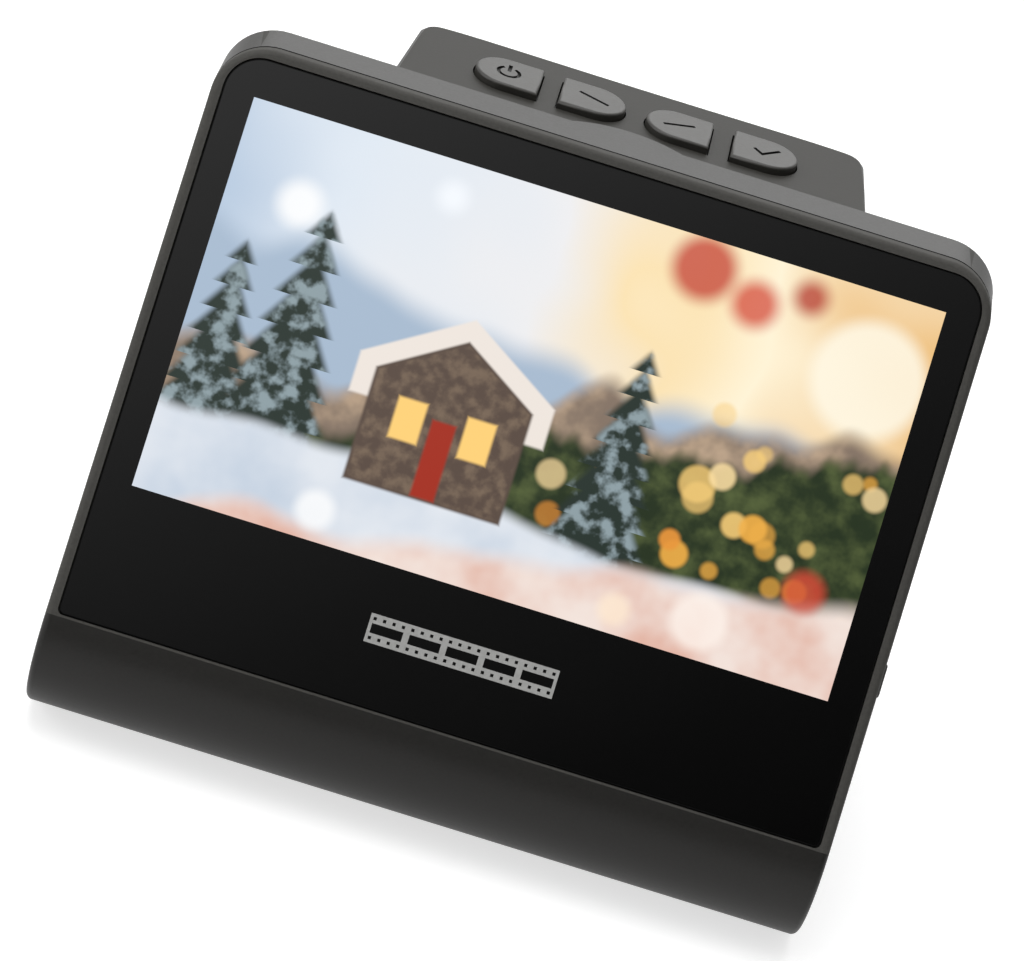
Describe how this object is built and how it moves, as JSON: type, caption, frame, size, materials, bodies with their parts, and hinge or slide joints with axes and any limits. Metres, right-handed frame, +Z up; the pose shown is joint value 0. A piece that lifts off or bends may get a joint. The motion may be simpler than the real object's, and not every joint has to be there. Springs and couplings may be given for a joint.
{
  "type": "film negative scanner",
  "caption": "Desktop film negative scanner with a large tilted screen, a rounded chin, a raised tower with a row of press keys and a slide-in strip film insert.",
  "frame": {"origin": "on the table, under the middle of the bounding box", "axes": "+X to the right seen from the front, +Y to the back, +Z up; the screen faces -Y and leans back"},
  "size_m": [0.1256, 0.0992, 0.1006],
  "materials": {
    "casing": "fine satin texture",
    "cover_window": "polished, black printed border",
    "display": "lit picture area in a dark frame",
    "steel_plate": "pressed and zinc plated",
    "circuit_board": "green solder mask",
    "chip": "moulded epoxy",
    "screw_steel": "zinc plated",
    "foot_rubber": "matte",
    "key_plastic": "satin",
    "plunger": "natural nylon",
    "switch_body": "matte",
    "guide": "matte black",
    "insert": "satin black",
    "white_plastic": "opal white",
    "led": "yellow phosphor",
    "lens_glass": "coated",
    "filter_glass": "blue-green filter",
    "sensor": "glossy window",
    "barrel": "matte black",
    "socket_steel": "tin plated",
    "cable": "amber polyimide"
  },
  "bodies": {
    "case": {"bottom_cover": "casing", "bracket_screws": "screw_steel", "card_socket": "socket_steel", "case_screws": "screw_steel", "cover_glass": "cover_window", "diffuser": "white_plastic", "display_bracket": "steel_plate", "display_cable": "cable", "display_panel": "display", "feet": "foot_rubber", "front_casing": "casing", "image_sensor": "sensor", "infrared_filter": "filter_glass", "key_board": "circuit_board", "key_board_screws": "screw_steel", "key_switches": "switch_body", "lens_barrel": "barrel", "lens_bracket": "barrel", "lens_lower": "lens_glass", "lens_upper": "lens_glass", "light_board": "white_plastic", "light_box": "white_plastic", "light_leds": "led", "lower_guide": "guide", "main_board": "circuit_board", "main_board_screws": "screw_steel", "main_chips": "chip", "port_board": "circuit_board", "power_socket": "socket_steel", "rear_housing": "casing", "sensor_board": "circuit_board", "sensor_cable": "cable", "sensor_housing": "barrel", "side_board": "circuit_board", "side_switch": "switch_body", "upper_guide": "guide", "video_socket": "socket_steel"},
    "key_return": {"key_return": "key_plastic", "plunger_return": "plunger"},
    "key_left": {"key_left": "key_plastic", "plunger_left": "plunger"},
    "key_right": {"key_right": "key_plastic", "plunger_right": "plunger"},
    "key_confirm": {"key_confirm": "key_plastic", "plunger_confirm": "plunger"},
    "side_button": {"side_button": "key_plastic", "side_plunger": "plunger"},
    "film_insert": {"insert_lower": "insert", "insert_upper": "insert"}
  },
  "joints": [
    {"name": "key_return_press", "type": "slide", "parent": "case", "child": "key_return", "axis": [0, 0, -1], "range_m": [0, 0.0005], "stiffness_N_per_m": 2000, "springref_m": -0.0002},
    {"name": "key_left_press", "type": "slide", "parent": "case", "child": "key_left", "axis": [0, 0, -1], "range_m": [0, 0.0005], "stiffness_N_per_m": 2000, "springref_m": -0.0002},
    {"name": "key_right_press", "type": "slide", "parent": "case", "child": "key_right", "axis": [0, 0, -1], "range_m": [0, 0.0005], "stiffness_N_per_m": 2000, "springref_m": -0.0002},
    {"name": "key_confirm_press", "type": "slide", "parent": "case", "child": "key_confirm", "axis": [0, 0, -1], "range_m": [0, 0.0005], "stiffness_N_per_m": 2000, "springref_m": -0.0002},
    {"name": "side_button_press", "type": "slide", "parent": "case", "child": "side_button", "axis": [-1, 0, 0], "range_m": [0, 0.0005], "stiffness_N_per_m": 2000, "springref_m": -0.0002},
    {"name": "film_insert_slide", "type": "slide", "parent": "case", "child": "film_insert", "axis": [1, 0, 0], "range_m": [0, 0.122]}
  ]
}
